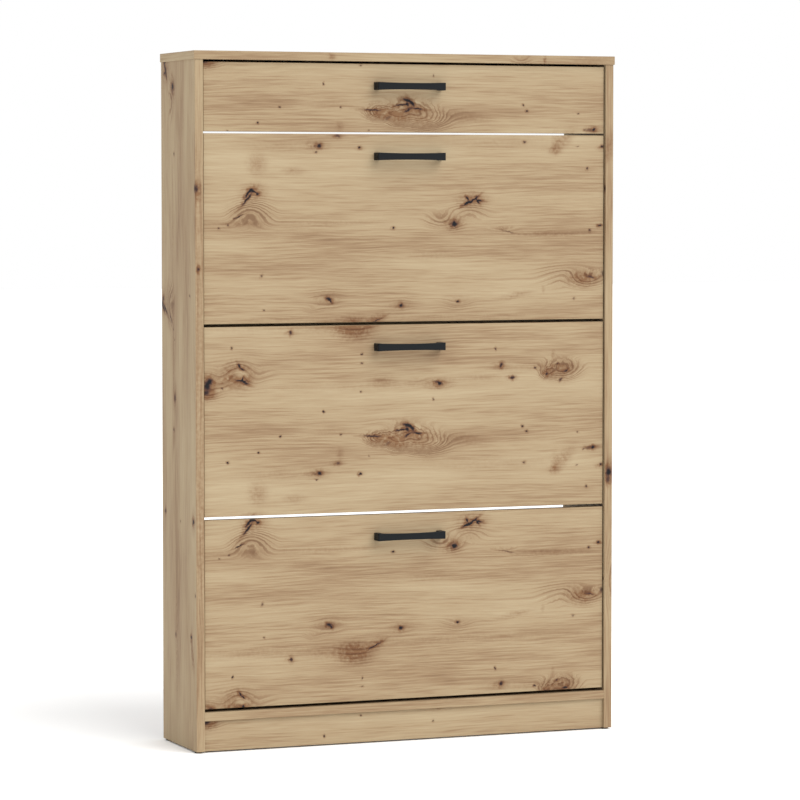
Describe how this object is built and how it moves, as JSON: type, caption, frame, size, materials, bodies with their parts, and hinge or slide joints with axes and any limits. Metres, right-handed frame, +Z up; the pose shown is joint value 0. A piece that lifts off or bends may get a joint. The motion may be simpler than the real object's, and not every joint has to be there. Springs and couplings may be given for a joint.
{
  "type": "shoe cabinet",
  "caption": "Narrow free-standing shoe cabinet in knotty oak decor, with a drawer above tilting shoe flaps and black bow handles.",
  "frame": {"origin": "on the floor, under the middle of the cabinet's overall box, handles included", "axes": "+Z up, +Y towards the wall behind the cabinet, +X to the right seen from the front"},
  "size_m": [0.85, 0.216, 1.296],
  "materials": {
    "oak_decor": "melamine-coated board with a knotty oak decor, satin",
    "white_board": "white melamine-coated board",
    "white_hardboard": "thin hardboard painted white on the inside",
    "handle_black": "matt black powder-coated zinc casting",
    "black_plastic": "moulded black plastic",
    "zinc_steel": "zinc-plated steel",
    "beech_dowel": "raw fluted beech"
  },
  "bodies": {
    "carcass": {"side_panel_left": "oak_decor", "side_panel_right": "oak_decor", "top_board": "oak_decor", "middle_shelf": "oak_decor", "bottom_shelf": "oak_decor", "plinth": "oak_decor", "back_board_bottom": "white_hardboard", "back_board_middle": "white_hardboard", "back_board_top": "white_hardboard", "back_board_drawer": "white_hardboard", "cam_bolts": "zinc_steel", "cam_discs": "zinc_steel", "back_nails": "zinc_steel", "wall_brackets": "zinc_steel", "carcass_screws": "zinc_steel", "wood_dowels": "beech_dowel", "floor_glides": "black_plastic", "drawer_guide_left": "black_plastic", "drawer_guide_right": "black_plastic", "flap_bottom_bearing_left": "black_plastic", "flap_bottom_bearing_right": "black_plastic", "flap_middle_bearing_left": "black_plastic", "flap_middle_bearing_right": "black_plastic", "flap_top_bearing_left": "black_plastic", "flap_top_bearing_right": "black_plastic"},
    "drawer": {"drawer_front": "oak_decor", "drawer_side_left": "white_board", "drawer_side_right": "white_board", "drawer_back": "white_board", "drawer_bottom": "white_hardboard", "drawer_box_screws": "zinc_steel", "drawer_cam_bolts": "zinc_steel", "drawer_cam_discs": "zinc_steel", "drawer_handle_screws": "zinc_steel", "drawer_stops": "black_plastic", "drawer_handle": "handle_black"},
    "flap_top": {"flap_top_front": "oak_decor", "flap_top_insert_floor": "oak_decor", "flap_top_back_rail": "oak_decor", "flap_top_handle": "handle_black", "flap_top_handle_screws": "zinc_steel", "flap_top_insert_screws": "zinc_steel", "flap_top_side_plate_left": "black_plastic", "flap_top_side_plate_right": "black_plastic"},
    "flap_middle": {"flap_middle_front": "oak_decor", "flap_middle_insert_floor": "oak_decor", "flap_middle_back_rail": "oak_decor", "flap_middle_handle": "handle_black", "flap_middle_handle_screws": "zinc_steel", "flap_middle_insert_screws": "zinc_steel", "flap_middle_side_plate_left": "black_plastic", "flap_middle_side_plate_right": "black_plastic"},
    "flap_bottom": {"flap_bottom_front": "oak_decor", "flap_bottom_insert_floor": "oak_decor", "flap_bottom_back_rail": "oak_decor", "flap_bottom_handle": "handle_black", "flap_bottom_handle_screws": "zinc_steel", "flap_bottom_insert_screws": "zinc_steel", "flap_bottom_side_plate_left": "black_plastic", "flap_bottom_side_plate_right": "black_plastic"}
  },
  "joints": [
    {"name": "drawer_slide", "type": "slide", "parent": "carcass", "child": "drawer", "axis": [0, -1, 0], "range_m": [0, 0.12]},
    {"name": "flap_top_hinge", "type": "hinge", "parent": "carcass", "child": "flap_top", "pos_m": [0, -0.06, 0.85402], "axis": [1, 0, 0], "range_deg": [0, 40]},
    {"name": "flap_middle_hinge", "type": "hinge", "parent": "carcass", "child": "flap_middle", "pos_m": [0, -0.06, 0.49751], "axis": [1, 0, 0], "range_deg": [0, 40]},
    {"name": "flap_bottom_hinge", "type": "hinge", "parent": "carcass", "child": "flap_bottom", "pos_m": [0, -0.06, 0.14101], "axis": [1, 0, 0], "range_deg": [0, 40]}
  ]
}
